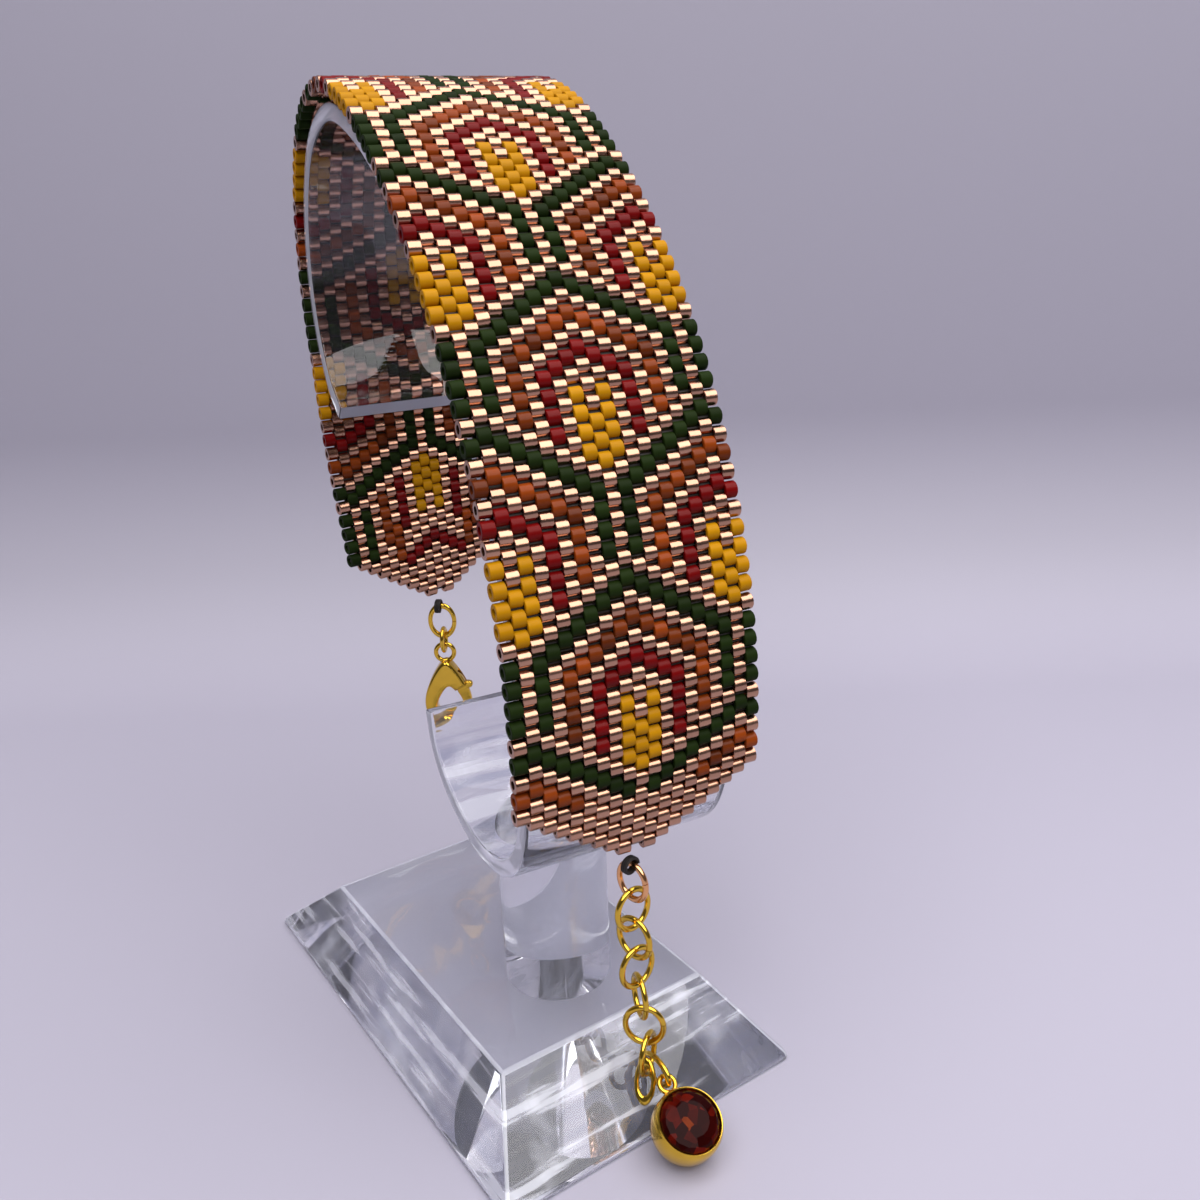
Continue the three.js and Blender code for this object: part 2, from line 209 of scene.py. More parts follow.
# Clasp side: the two rings that the clasp hangs on, and the clasp's outlines as centre and half sizes.
BACK_X = -31.4
BACK_RINGS = [
    {"name": "back_ring", "wire": 0.62, "width": 3.9, "length": 5.0, "z": 36.75, "turn": 64},
    {"name": "back_link", "wire": 0.6, "width": 3.2, "length": 3.7, "z": 33.98, "turn": 150},
]
CLASP_Z = 26.3
CLASP_TURN = 64.0
CLASP_TAPER = 0.45
CLASP_THICKNESS = 2.5
CLASP_SOFTENING = 0.5
CLASP_OUTER = (0.0, 0.0, 3.0, 4.7)
CLASP_INNER = (0.25, -1.4, 1.7, 2.3)
CLASP_EYE = {"z": 5.8, "radius": 1.25, "wire": 0.64}
CLASP_SLOT = {"x": 1.9, "z": 1.5, "width": 4.2, "depth": 1.4, "height": 3.2}
LEVER_THICKNESS = 0.9
LEVER_SOFTENING = 0.2
LEVER_HUB = (1.2, 2.2, 0.62, 0.62)
LEVER_THUMB = (2.85, 0.9, 0.65, 0.5)

# Knots that tie the end rings to the tips: place and turn about the vertical, and size of the winding.
FRONT_THREAD = (24.7, 29.98, 110)
BACK_THREAD = (BACK_X, 38.98, 150)
KNOT = {"turns": 3, "steps": 60, "half_width": 0.85, "half_height": 0.8, "spread": 0.7, "strand": 0.17, "shift": 0.4}

# Beadwork chart. One row for each column's distance from the middle, one letter for each bead down the column:
# C champagne, G green, O orange, R red, Y yellow. It repeats every 16 beads, and columns past the fourth
# repeat the inner ones half a repeat further on.
CHART = {
    0: "GCOCRCCCYYYCCCCC",
    1: "GCOCRCYYYYCGGGGC",
    2: "CGCOCRCCCCCGCCCC",
    3: "CGCOCRRRRCGCOOOO",
    4: "CCGCOCCCCCGCOCCC",
}
PLAIN_FRONT_ROW = 56
BACK_END_ROW = -117
BEAD_SLOTS = {
    "C": ("beads_champagne", "bead_champagne"),
    "G": ("beads_green", "bead_green"),
    "O": ("beads_orange", "bead_orange"),
    "R": ("beads_red", "bead_red"),
    "Y": ("beads_yellow", "bead_yellow"),
}

# Stage in metres: floor sheet with its rising backdrop, lamp, and camera as place, two axes and lens.
FLOOR = {"x": 0.575, "length": 1.4, "width": 3.0, "rise": 0.3, "sweep": 0.045, "turn": -25, "back": -0.11}
KEY_LIGHT = {"place": (0.17, 0.01, 0.52), "target": (0.0, 0.0, 0.05), "size": 0.9, "colour": (1.0, 0.98, 0.965)}
AIR_COLOUR = (0.74, 0.72, 0.84, 1)
CAMERA = {
    "place": (0.11107, -0.03879, 0.09325),
    "right": (0.4399, 0.8974, -0.0347),
    "back": (0.8477, -0.4022, 0.3458),
    "lens": 34.5,
}


class BeadSizes(bpy.types.PropertyGroup):
    length: bpy.props.FloatProperty(
        name="Bead length", description="Length of one bead along its hole", default=1.29 * MM, unit="LENGTH"
    )
    diameter: bpy.props.FloatProperty(
        name="Bead diameter", description="Outer diameter of one bead", default=1.64 * MM, unit="LENGTH"
    )
    hole: bpy.props.FloatProperty(
        name="Hole diameter", description="Diameter of the hole through a bead", default=0.84 * MM, unit="LENGTH"
    )
    # Drawn thicker than weaving thread, so that between the beads it also fills the gaps with dark: partly real
    # thread, partly painted shade.
    thread: bpy.props.FloatProperty(
        name="Thread diameter", description="Diameter of the weaving thread", default=0.45 * MM, unit="LENGTH"
    )
    sides: bpy.props.IntProperty(name="Bead sides", description="Facets round one bead", default=14, min=10, max=16)
    tilt: bpy.props.FloatProperty(
        name="Bead tilt", description="Most that a bead leans in the weave", default=math.radians(2.6), unit="ROTATION"
    )
    champagne: bpy.props.FloatVectorProperty(
        name="Champagne", description="Metallic rose beads", default=(0.46, 0.252, 0.170), subtype="COLOR"
    )
    green: bpy.props.FloatVectorProperty(
        name="Green", description="Matte green beads", default=(0.008, 0.0165, 0.002), subtype="COLOR"
    )
    orange: bpy.props.FloatVectorProperty(
        name="Orange", description="Orange-brown beads", default=(0.19, 0.032, 0.002), subtype="COLOR"
    )
    red: bpy.props.FloatVectorProperty(
        name="Red", description="Deep red beads", default=(0.125, 0.001, 0.001), subtype="COLOR"
    )
    yellow: bpy.props.FloatVectorProperty(
        name="Yellow", description="Mustard beads", default=(0.41, 0.185, 0.001), subtype="COLOR"
    )


class StandSizes(bpy.types.PropertyGroup):
    softening: bpy.props.FloatProperty(
        name="Edge softening", description="Radius of the polished edges", default=0.35 * MM, unit="LENGTH"
    )
    tint: bpy.props.FloatVectorProperty(
        name="Tint", description="Colour of light that passes the acrylic", default=(0.95, 0.96, 1.0), subtype="COLOR"
    )


class MetalSizes(bpy.types.PropertyGroup):
    seam: bpy.props.FloatProperty(
        name="Ring seam", description="Opening angle of a ring's cut", default=math.radians(2.0), unit="ROTATION"
    )
    gold: bpy.props.FloatVectorProperty(
        name="Gold", description="Plating of chain, drop and clasp", default=(0.76, 0.48, 0.055), subtype="COLOR"
    )
    rose: bpy.props.FloatVectorProperty(
        name="Rose gold", description="Plating of the front jump ring", default=(0.85, 0.44, 0.20), subtype="COLOR"
    )
    stone: bpy.props.FloatVectorProperty(
        name="Stone", description="Colour of the drop's stone", default=(0.014, 0.001, 0.001), subtype="COLOR"
    )


class StageLook(bpy.types.PropertyGroup):
    floor: bpy.props.FloatVectorProperty(
        name="Floor", description="Colour of the floor and backdrop", default=(0.355, 0.34, 0.42), subtype="COLOR"
    )
    key: bpy.props.FloatProperty(name="Key light", description="Power of the overhead light in watts", default=8.0)
    air: bpy.props.FloatProperty(name="Ambient light", description="Strength of the surrounding light", default=0.13)


class Value:
    """A number socket that adds a Math node when it is added or multiplied."""

    def __init__(self, finish, socket):
        self.finish = finish
        self.socket = socket

    def _maths(self, operation, first, second):
        node = self.finish.node("ShaderNodeMath", {"operation": operation}, {0: first, 1: second})
        return Value(self.finish, node.outputs[0])

    def __add__(self, other):
        return self._maths("ADD", self, other)

    def __mul__(self, other):
        return self._maths("MULTIPLY", self, other)


class Finish:
    """A material under construction: its node tree and its principled shader."""

    def __init__(self, name, **constants):
        self.material = bpy.data.materials.new(name)
        self.material.use_nodes = True
        self.tree = self.material.node_tree
        self.shader = self.tree.nodes["Principled BSDF"]
        for key, value in constants.items():
            self.shader.inputs[key.replace("_", " ")].default_value = value

    def node(self, kind, settings=None, inputs=None):
        node = self.tree.nodes.new(kind)
        for key, value in (settings or {}).items():
            if key == "stops":
                self._stops(node.color_ramp, value)
            else:
                setattr(node, key, value)
        for key, value in (inputs or {}).items():
            self.feed(node.inputs[key], value)
        return node

    def feed(self, socket, value):
        if isinstance(value, Value):
            self.tree.links.new(value.socket, socket)
        elif isinstance(value, bpy.types.NodeSocket):
            self.tree.links.new(value, socket)
        else:
            socket.default_value = value

    def _stops(self, ramp, stops):
        while len(ramp.elements) < len(stops):
            ramp.elements.new(0.5)
        for element, (position, colour) in zip(ramp.elements, stops):
            element.position = position
            element.color = colour

    def set(self, name, value):
        self.feed(self.shader.inputs[name], value)

    def number(self, node, output=0):
        return Value(self, node.outputs[output])

    def noise(self, scale, detail=2.0, coordinates=None):
        place = coordinates or self.node("ShaderNodeTexCoord").outputs["Object"]
        node = self.node("ShaderNodeTexNoise", None, {"Vector": place, "Scale": scale, "Detail": detail})
        return self.number(node)

    def painted(self, name):
        """Number that the mesh carries under a name."""
        return self.number(self.node("ShaderNodeAttribute", {"attribute_name": name}), 2)

    def rise(self, value, low, high, interpolation="LINEAR"):
        """Number from 0 to 1 while a value goes from low to high."""
        settings = {"interpolation_type": interpolation}
        return self.number(self.node("ShaderNodeMapRange", settings, {0: value, 1: low, 2: high}))

    def mix(self, factor, first, second):
        node = self.node("ShaderNodeMix", {"data_type": "RGBA"}, {0: factor, 6: first, 7: second})
        return node.outputs[2]

    def bump(self, height, strength, distance):
        node = self.node("ShaderNodeBump", None, {"Height": height, "Strength": strength, "Distance": distance})
        self.set("Normal", node.outputs[0])


def rgba(colour, gain=1.0):
    return (colour[0] * gain, colour[1] * gain, colour[2] * gain, 1.0)


def bead_finish(name, dark, light, metallic, roughness, coat=0.0):
    """Glass bead: each bead has its own shade, with a little unevenness over the whole weave."""
    finish = Finish(name, Metallic=metallic, Coat_Roughness=0.2, IOR=1.5, Specular_IOR_Level=0.5 if metallic else 0.06)
    tone = finish.painted("tone")
    cloud = finish.noise(900.0)
    finish.set("Base Color", finish.mix(tone * 0.8 + cloud * 0.2, dark, light))
    finish.set("Roughness", tone * 0.08 + cloud * 0.08 + (roughness - 0.08))
    finish.set("Coat Weight", coat)
    finish.bump(finish.noise(5200.0), 0.25, 0.02 * MM)
    return finish.material


def plated_finish(name, colour, roughness=0.14):
    """Plated brass: bright, with slightly darker clouds and a faint orange peel."""
    finish = Finish(name, Metallic=1.0)
    cloud = finish.noise(700.0, 3.0)
    finish.set("Base Color", finish.mix(cloud, rgba(colour, 0.78), rgba(colour, 1.08)))
    finish.set("Roughness", cloud * 0.16 + (roughness - 0.06))
    finish.bump(finish.noise(1500.0), 0.2, 0.03 * MM)
    return finish.material


def acrylic_finish(name, tint):
    """Clear cast acrylic: a faint milky haze and paler sawn edges, with painted highlights on the base's hips, painted
    light over the base and post, and painted light and dark reflection streaks and glints along the bevels and the
    lower arm.
    """
    finish = Finish(name, Transmission_Weight=1.0, IOR=1.49)
    place = finish.node("ShaderNodeTexCoord").outputs["Object"]
    haze = finish.noise(90.0, 4.0, place)
    edge = finish.painted("edge")
    bevel = finish.painted("bevel")
    along = finish.node("ShaderNodeMapping", None, {0: place, 3: (60.0, 60.0, 1000.0)}).outputs[0]
    # Noise stretched along the bevels for the painted light and dark reflection streaks.
    streak_noise = finish.noise(1.0, 3.0, along)
    pale = finish.rise(streak_noise, 0.52, 0.60)
    deep = finish.rise(streak_noise, 0.50, 0.38)
    # Painted dark reflection streaks on the bevels.
    finish.set("Base Color", finish.mix(bevel * deep, rgba(tint), (0.50, 0.54, 0.68, 1)))
    finish.set("Roughness", haze * 0.03)
    # White frost shader: real frost on the sawn edges, painted light everywhere else it is mixed in.
    frost_and_sheen = finish.node(
        "ShaderNodeBsdfPrincipled",
        None,
        {"Base Color": (0.87, 0.89, 1.0, 1), "Roughness": 0.2, "Transmission Weight": 0.25},
    )
    # Painted glints on the bevels and the lower arm.
    glint = finish.rise(finish.noise(160.0, 4.0, place), 0.52, 0.72)
    # Share of white frost: the sawn edges, painted highlights on the hips, painted light over the base and post,
    # painted pale reflection streaks, glints and a painted lift of the darks on the bevels, and the milky haze.
    frost_and_sheen_share = edge * 0.5 + bevel * (pale * 0.5 + glint * 0.35 + 0.06) + haze * 0.015
    blend = finish.node("ShaderNodeMixShader", None, {0: frost_and_sheen_share, 1: finish.shader.outputs[0], 2: frost_and_sheen.outputs[0]})
    finish.tree.links.new(blend.outputs[0], finish.tree.nodes["Material Output"].inputs["Surface"])
    return finish.material


def stone_finish(name, colour):
    """Dark faceted glass over foil, with painted warm glints in places that stand for its fire."""
    finish = Finish(name, Roughness=0.05, IOR=1.5, Specular_IOR_Level=0.05)
    place = finish.node("ShaderNodeTexCoord").outputs["Object"]
    cells = finish.node("ShaderNodeTexVoronoi", None, {"Vector": place, "Scale": 950.0})
    # Painted orange glints for the stone's fire, over darker tones of its own.
    tone_and_glint = finish.node("ShaderNodeValToRGB", {"stops": STONE_TONES_AND_GLINTS}, {0: finish.number(cells, "Color")})
    finish.set("Base Color", finish.mix(finish.noise(500.0, 1.0), rgba(colour), tone_and_glint.outputs[0]))
    return finish.material


def thread_finish(name):
    """Waxed dark thread, kept very dark because between the beads it also stands for the shade in the gaps."""
    finish = Finish(name)
    fuzz = finish.noise(2600.0)
    finish.set("Base Color", finish.mix(fuzz, (0.004, 0.002, 0.0015, 1), (0.012, 0.007, 0.005, 1)))
    finish.set("Roughness", fuzz * 0.3 + 0.5)
    finish.bump(finish.noise(9000.0), 0.4, 0.02 * MM)
    return finish.material


def floor_finish(name, colour):
    """Pale matt paper with a very soft mottle, with painted shade that darkens it where it rises behind the object."""
    finish = Finish(name)
    cloud = finish.noise(6.0, 2.0)
    place = finish.node("ShaderNodeTexCoord").outputs["Object"]
    height = finish.node("ShaderNodeSeparateXYZ", None, {0: place}).outputs[2]
    # Painted shade: the backdrop is darker where it rises.
    rise = finish.rise(height, 0.0, 0.02, "SMOOTHSTEP")
    paper = finish.mix(cloud, rgba(colour, 0.97), rgba(colour, 1.03))
    finish.set("Base Color", finish.mix(rise, paper, rgba(colour, 0.86)))
    finish.set("Roughness", cloud * 0.1 + 0.55)
    return finish.material


def deselect():
    if bpy.context.mode != "OBJECT":
        bpy.ops.object.mode_set(mode="OBJECT")
    bpy.ops.object.select_all(action="DESELECT")


def focus(piece):
    deselect()
    piece.select_set(True)
    bpy.context.view_layer.objects.active = piece


def named(name):
    piece = bpy.context.active_object
    piece.name = name
    piece.data.name = name
    return piece


def settle(piece):
    """Moves the object's place into its mesh."""
    focus(piece)
    bpy.ops.object.transform_apply(location=True, rotation=True, scale=True)


def placed(piece, matrix):
    piece.matrix_world = matrix
    settle(piece)


def closed(piece, merge=0.0005 * MM):
    """Joins doubled points and turns every face outwards."""
    focus(piece)
    bpy.ops.object.mode_set(mode="EDIT")
    bpy.ops.mesh.select_all(action="SELECT")
    bpy.ops.mesh.remove_doubles(threshold=merge)
    bpy.ops.mesh.normals_make_consistent(inside=False)
    bpy.ops.object.mode_set(mode="OBJECT")


def smooth(piece, degrees=35.0):
    focus(piece)
    bpy.ops.object.shade_smooth_by_angle(angle=math.radians(degrees))


def select_where(piece, kind, test):
    """Selects the faces or edges of the edited mesh that pass the test. An edge's test is given its two ends."""
    bpy.ops.mesh.select_mode(type=kind)
    bpy.ops.mesh.select_all(action="DESELECT")
    bpy.ops.object.mode_set(mode="OBJECT")
    if kind == "FACE":
        for face in piece.data.polygons:
            face.select = test(face)
    else:
        for edge in piece.data.edges:
            edge.select = test(*(piece.data.vertices[i].co for i in edge.vertices))
    bpy.ops.object.mode_set(mode="EDIT")


def extrude_up(height):
    """Extrudes what is selected in edit mode straight up."""
    bpy.ops.mesh.extrude_region_move(TRANSFORM_OT_translate={"value": (0, 0, height)})


def scale_flat(x, y):
    """Scales what is selected in edit mode about the Z axis."""
    bpy.ops.transform.resize(value=(x, y, 1.0), center_override=(0, 0, 0))


def dress(piece, material, slot, body, *nodes):
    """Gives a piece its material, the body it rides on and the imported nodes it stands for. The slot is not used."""
    piece.data.materials.clear()
    piece.data.materials.append(material)
    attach(piece, body)
    if nodes:
        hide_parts(*nodes)


def apply_modifier(piece, kind, **settings):
    focus(piece)
    modifier = piece.modifiers.new(kind.title(), kind)
    for key, value in settings.items():
        setattr(modifier, key, value)
    bpy.ops.object.modifier_apply(modifier=modifier.name)


def spline_pieces(table):
    """Centripetal spline through a table of stations: a list of (control point, tangent) pieces."""
    points = [Vector((row["x"], row["z"])) for row in table]
    ends = [2 * points[0] - points[1]] + points + [2 * points[-1] - points[-2]]
    pieces = []
    for p0, p1, p2, p3 in zip(ends, ends[1:], ends[2:], ends[3:]):
        d0, d1, d2 = (p1 - p0).length ** 0.5, (p2 - p1).length ** 0.5, (p3 - p2).length ** 0.5
        t1 = ((p1 - p0) / d0 - (p2 - p0) / (d0 + d1) + (p2 - p1) / d1) * d1
        t2 = ((p2 - p1) / d1 - (p3 - p1) / (d1 + d2) + (p3 - p2) / d2) * d1
        pieces.append((p1, p2, t1, t2))
    return pieces


def traced(table):
    """Fine points of the spline through a table, and how far along it each one is."""
    fine = []
    for p1, p2, t1, t2 in spline_pieces(table):
        for i in range(60):
            t = i / 60
            a = 2 * t**3 - 3 * t**2 + 1
            b = t**3 - 2 * t**2 + t
            c = -2 * t**3 + 3 * t**2
            d = t**3 - t**2
            fine.append(a * p1 + b * t1 + c * p2 + d * t2)
    fine.append(Vector((table[-1]["x"], table[-1]["z"])))
    reach = [0.0]
    for p, q in zip(fine, fine[1:]):
        reach.append(reach[-1] + (q - p).length)
    return fine, reach


def stations(table, places):
    """Point, tangent and outward normal at each place along a table, for places in rising order."""
    fine, reach = traced(table)
    out = []
    k = 0
    for want in places:
        while k < len(fine) - 2 and reach[k + 1] < want:
            k += 1
        share = (want - reach[k]) / (reach[k + 1] - reach[k])
        along = (fine[k + 1] - fine[k]).normalized()
        out.append((fine[k].lerp(fine[k + 1], share), along, Vector((along.y, -along.x))))
    return out


def row_places():
    """How far along the band each half-row is: opened up on the way down in front, closer behind the crest."""
    length = traced(DRAPE)[1][-1]
    crest = END_MARGIN + FRONT_STEP * (FIRST_ROW - CREST_ROW)
    step = (length - END_MARGIN - crest) / (CREST_ROW - LAST_ROW)
    front = [END_MARGIN + FRONT_STEP * i for i in range(FIRST_ROW - CREST_ROW)]
    return front + [crest + step * i for i in range(CREST_ROW - LAST_ROW + 1)]


def free_turn(point):
    """Angle about the vertical that the free end has turned by at a point of the drape."""
    if point.x > 0:
        return 0.0
    share = (FREE_END["from"] - point.y) / (FREE_END["from"] - FREE_END["to"])
    share = min(max(share, 0.0), 1.0)
    return math.radians(FREE_END["turn"]) * share * share * (3 - 2 * share)


def band_place(point, across):
    """Place in the band, in mm, at a point of the drape and a distance from the middle column."""
    angle = free_turn(point)
    swing = Vector((point.x - FREE_END["x"], across))
    swing.rotate(Matrix.Rotation(angle, 2))
    if angle == 0.0:
        return Vector((point.x, BAND_Y + across, point.y))
    return Vector((FREE_END["x"] + swing.x, BAND_Y + swing.y, point.y))


def bead_letter(d, h):
    """Colour letter of the bead in column d from the middle and half-row h."""
    d = abs(d)
    if h >= PLAIN_FRONT_ROW:
        return "C"
    if h <= BACK_END_ROW:
        return back_end_letter(d, h)
    if d == 9:
        d = 7
    if d > 4:
        d = 8 - d
        h += 16
    return CHART[d][((h - d % 2) % 32) // 2]


def back_end_letter(d, h):
    """The last rows at the clasp end close with a small chevron on plain champagne."""
    below = -h - 120 - d
    if d <= 3 and below == 0:
        return "R"
    if d == 3 and h == -117:
        return "R"
    if d in (4, 5) and 0 <= -h - 113 - (d == 4) * 3 <= 6:
        return "O"
    if d in (7, 9) and h >= -121:
        return "G"
    return "C"


def column_rows(d):
    """Half-rows of the beads in a column; each end steps in towards the middle three columns."""
    inset = max(abs(d), 1)
    return [h for h in range(LAST_ROW + inset, FIRST_ROW - inset + 1) if (h + d) % 2 == 0]


def bead_places():
    """Place, outward normal, tangent and turn of each bead, by colour letter."""
    steps = stations(DRAPE, row_places())
    found = {letter: [] for letter in BEAD_SLOTS}
    for d in range(-(COLUMNS // 2), COLUMNS // 2 + 1):
        for h in column_rows(d):
            point, along, out = steps[FIRST_ROW - h]
            place = band_place(point, d * COLUMN_PITCH)
            found[bead_letter(d, h)].append((place, along, out, free_turn(point)))
    return found


def make_bead(sizes):
    """One bead along Y: a short tube with rounded rims."""
    deselect()
    bpy.ops.mesh.primitive_cylinder_add(
        vertices=sizes.sides, radius=sizes.diameter / 2, depth=sizes.length, rotation=(math.pi / 2, 0, 0)
    )
    bead = named("bead")
    settle(bead)
    half = sizes.length / 2
    bpy.ops.object.mode_set(mode="EDIT")
    select_where(bead, "EDGE", lambda a, b: a.y * b.y > 0)
    bpy.ops.mesh.bevel(offset=0.06 * MM, segments=1, affect="EDGES")
    select_where(bead, "FACE", lambda face: abs(face.center.y) > half - 0.01 * MM)
    bpy.ops.mesh.inset(thickness=(sizes.diameter - sizes.hole) / 2 - 0.06 * MM, use_individual=True)
    bpy.ops.mesh.bridge_edge_loops()
    bpy.ops.object.mode_set(mode="OBJECT")
    closed(bead)
    smooth(bead, 35.0)
    return bead


def scatter_tree(bead):
    """Node group that puts a copy of the bead on each point, turned by the point's own angles."""
    tree = bpy.data.node_groups.new("bead_scatter", "GeometryNodeTree")
    tree.interface.new_socket("Geometry", in_out="INPUT", socket_type="NodeSocketGeometry")
    tree.interface.new_socket("Geometry", in_out="OUTPUT", socket_type="NodeSocketGeometry")
    start = tree.nodes.new("NodeGroupInput")
    end = tree.nodes.new("NodeGroupOutput")
    source = tree.nodes.new("GeometryNodeObjectInfo")
    source.inputs["Object"].default_value = bead
    turn = tree.nodes.new("GeometryNodeInputNamedAttribute")
    turn.data_type = "FLOAT_VECTOR"
    turn.inputs["Name"].default_value = "turn"
    spread = tree.nodes.new("GeometryNodeInstanceOnPoints")
    real = tree.nodes.new("GeometryNodeRealizeInstances")
    tree.links.new(start.outputs[0], spread.inputs["Points"])
    tree.links.new(source.outputs["Geometry"], spread.inputs["Instance"])
    tree.links.new(turn.outputs["Attribute"], spread.inputs["Rotation"])
    tree.links.new(spread.outputs[0], real.inputs[0])
    tree.links.new(real.outputs[0], end.inputs[0])
    return tree


def scatter(name, places, tree, sizes, chance):
    """One piece that holds every bead of a colour."""
    points = bpy.data.meshes.new(name)
    shift = 0.012 * MM
    spots = []
    turns = []
    for place, along, out, turn in places:
        lean = chance.gauss(0, 0.45) * sizes.tilt
        swing = chance.gauss(0, 0.35) * sizes.tilt
        spots.append(place * MM + Vector([chance.uniform(-shift, shift) for _ in range(3)]))
        turns.extend((lean * out.x + swing * along.x, 0.0, lean * out.y + swing * along.y + turn))
    points.from_pydata(spots, [], [])
    points.attributes.new("turn", "FLOAT_VECTOR", "POINT").data.foreach_set("vector", turns)
    tones = [chance.random() for _ in places]
    points.attributes.new("tone", "FLOAT", "POINT").data.foreach_set("value", tones)
    piece = bpy.data.objects.new(name, points)
    bpy.context.scene.collection.objects.link(piece)
    apply_modifier(piece, "NODES", node_group=tree)
    return piece


def curve_piece(name, curve, paths, cyclic):
    """Mesh of a curve with one straight-sided spline through each path of points, in metres."""
    for path in paths:
        spline = curve.splines.new("POLY")
        spline.points.add(len(path) - 1)
        for point, co in zip(spline.points, path):
            point.co = (*co, 1.0)
        spline.use_cyclic_u = cyclic
    piece = bpy.data.objects.new(name, curve)
    bpy.context.scene.collection.objects.link(piece)
    focus(piece)
    bpy.ops.object.convert(target="MESH")
    return named(name)


def tube(name, paths, radius, resolution=1):
    """Round tube along each path of points, in metres."""
    curve = bpy.data.curves.new(name, "CURVE")
    curve.dimensions = "3D"
    curve.bevel_depth = radius
    curve.bevel_resolution = resolution
    curve.use_fill_caps = True
    piece = curve_piece(name, curve, paths, False)
    closed(piece)
    return piece


def flat_shape(name, outline, thickness, edge, segments=3):
    """Plate in the XZ plane, centred on y = 0, cut to a closed outline in mm, with rounded edges."""
    curve = bpy.data.curves.new(name, "CURVE")
    curve.dimensions = "2D"
    curve.fill_mode = "BOTH"
    curve.extrude = (thickness / 2 - edge) * MM
    curve.bevel_depth = edge * MM
    curve.bevel_resolution = segments
    curve.offset = -edge * MM
    piece = curve_piece(name, curve, [[(u * MM, v * MM, 0.0) for u, v in outline]], True)
    placed(piece, Matrix.Rotation(math.pi / 2, 4, "X"))
    closed(piece, 0.002 * MM)
    return piece


def oval(u, v, a, b, count, start=0.0, end=360.0):
    """Points of an oval or of an arc of it, anticlockwise."""
    whole = end - start >= 360.0
    steps = count if whole else count + 1
    angles = [math.radians(start + (end - start) * i / count) for i in range(steps)]
    return [(u + a * math.cos(t), v + b * math.sin(t)) for t in angles]


def egg(row, count, start, end):
    """Arc of an oval outline that is narrower above, anticlockwise."""
    u, v, a, b = row
    angles = [math.radians(start + (end - start) * i / count) for i in range(count + 1)]
    return [(u + a * math.cos(t) * (1 - CLASP_TAPER * math.sin(t)), v + b * math.sin(t)) for t in angles]


def open_ring(name, wire, width, length, matrix, seam, turn=0.0):
    """Oval wire ring with a fine cut, spun from a round section. Its long way is local Z, and it lies in local XZ."""
    radius = (width - wire) / 2 * MM
    deselect()
    bpy.ops.mesh.primitive_circle_add(vertices=14, radius=wire / 2 * MM, fill_type="NGON", location=(radius, 0, 0))
    ring = named(name)
    settle(ring)
    bpy.ops.object.mode_set(mode="EDIT")
    bpy.ops.mesh.select_all(action="SELECT")
    bpy.ops.mesh.spin(steps=44, angle=2 * math.pi - seam, center=(0, 0, 0), axis=(0, 1, 0))
    bpy.ops.object.mode_set(mode="OBJECT")
    stretch = (length - wire) / (width - wire)
    placed(ring, Matrix.Rotation(math.radians(turn), 4, "Y"))
    placed(ring, matrix @ Matrix.Diagonal((1.0, 1.0, stretch, 1.0)))
    closed(ring)
    smooth(ring, 40.0)
    return ring


def upright(x, y, z, turn):
    """Stands local XZ upright at a place, turned about the vertical."""
    return Matrix.Translation(Vector((x, y, z)) * MM) @ Matrix.Rotation(math.radians(turn), 4, "Z")


def between(row):
    """Places a ring so that its two ends are centred on the row's points; returns the matrix and the length."""
    start, stop, side = Vector(row["from"]), Vector(row["to"]), Vector(row["side"])
    long = stop - start
    reach = long.length + row["wire"]
    long.normalize()
    across = long.cross(side).normalized()
    turned = Matrix((across, long.cross(across), long)).transposed().to_4x4()
    return Matrix.Translation((start + stop) / 2 * MM) @ turned, reach


def drop_matrix():
    """Local Z is the stone's axis, local X points to the loop."""
    tilt = math.radians(DROP_TILT)
    axis = Vector((math.cos(tilt), 0, math.sin(tilt)))
    loop = Vector((-math.sin(tilt), 0, math.cos(tilt)))
    turned = Matrix((loop, axis.cross(loop), axis)).transposed().to_4x4()
    return Matrix.Translation(Vector(DROP_FACE) * MM) @ turned


def turned_piece(name, profile, sides):
    """Turns a profile of (radius, height) rows in mm about Z: a circle extruded ring by ring and closed."""
    radius, height = profile[0]
    deselect()
    bpy.ops.mesh.primitive_circle_add(
        vertices=sides, radius=radius * MM, location=(0, 0, height * MM), fill_type="NGON"
    )
    piece = named(name)
    settle(piece)
    bpy.ops.object.mode_set(mode="EDIT")
    bpy.ops.mesh.select_all(action="SELECT")
    for next_radius, next_height in profile[1:]:
        extrude_up((next_height - height) * MM)
        scale_flat(next_radius / radius, next_radius / radius)
        radius, height = next_radius, next_height
    bpy.ops.object.mode_set(mode="OBJECT")
    closed(piece)
    return piece


def torus(name, radius, wire, place, tilt, sides):
    """Plain ring of round wire, with sizes and place in mm and its tilt about X."""
    deselect()
    bpy.ops.mesh.primitive_torus_add(
        major_radius=radius * MM,
        minor_radius=wire / 2 * MM,
        major_segments=sides[0],
        minor_segments=sides[1],
        location=Vector(place) * MM,
        rotation=(tilt, 0, 0),
    )
    ring = named(name)
    settle(ring)
    return ring


def combined(first, other, operation):
    """Boolean of two pieces that keeps the first."""
    apply_modifier(first, "BOOLEAN", operation=operation, solver="EXACT", object=other)
    bpy.data.objects.remove(other)
    return first


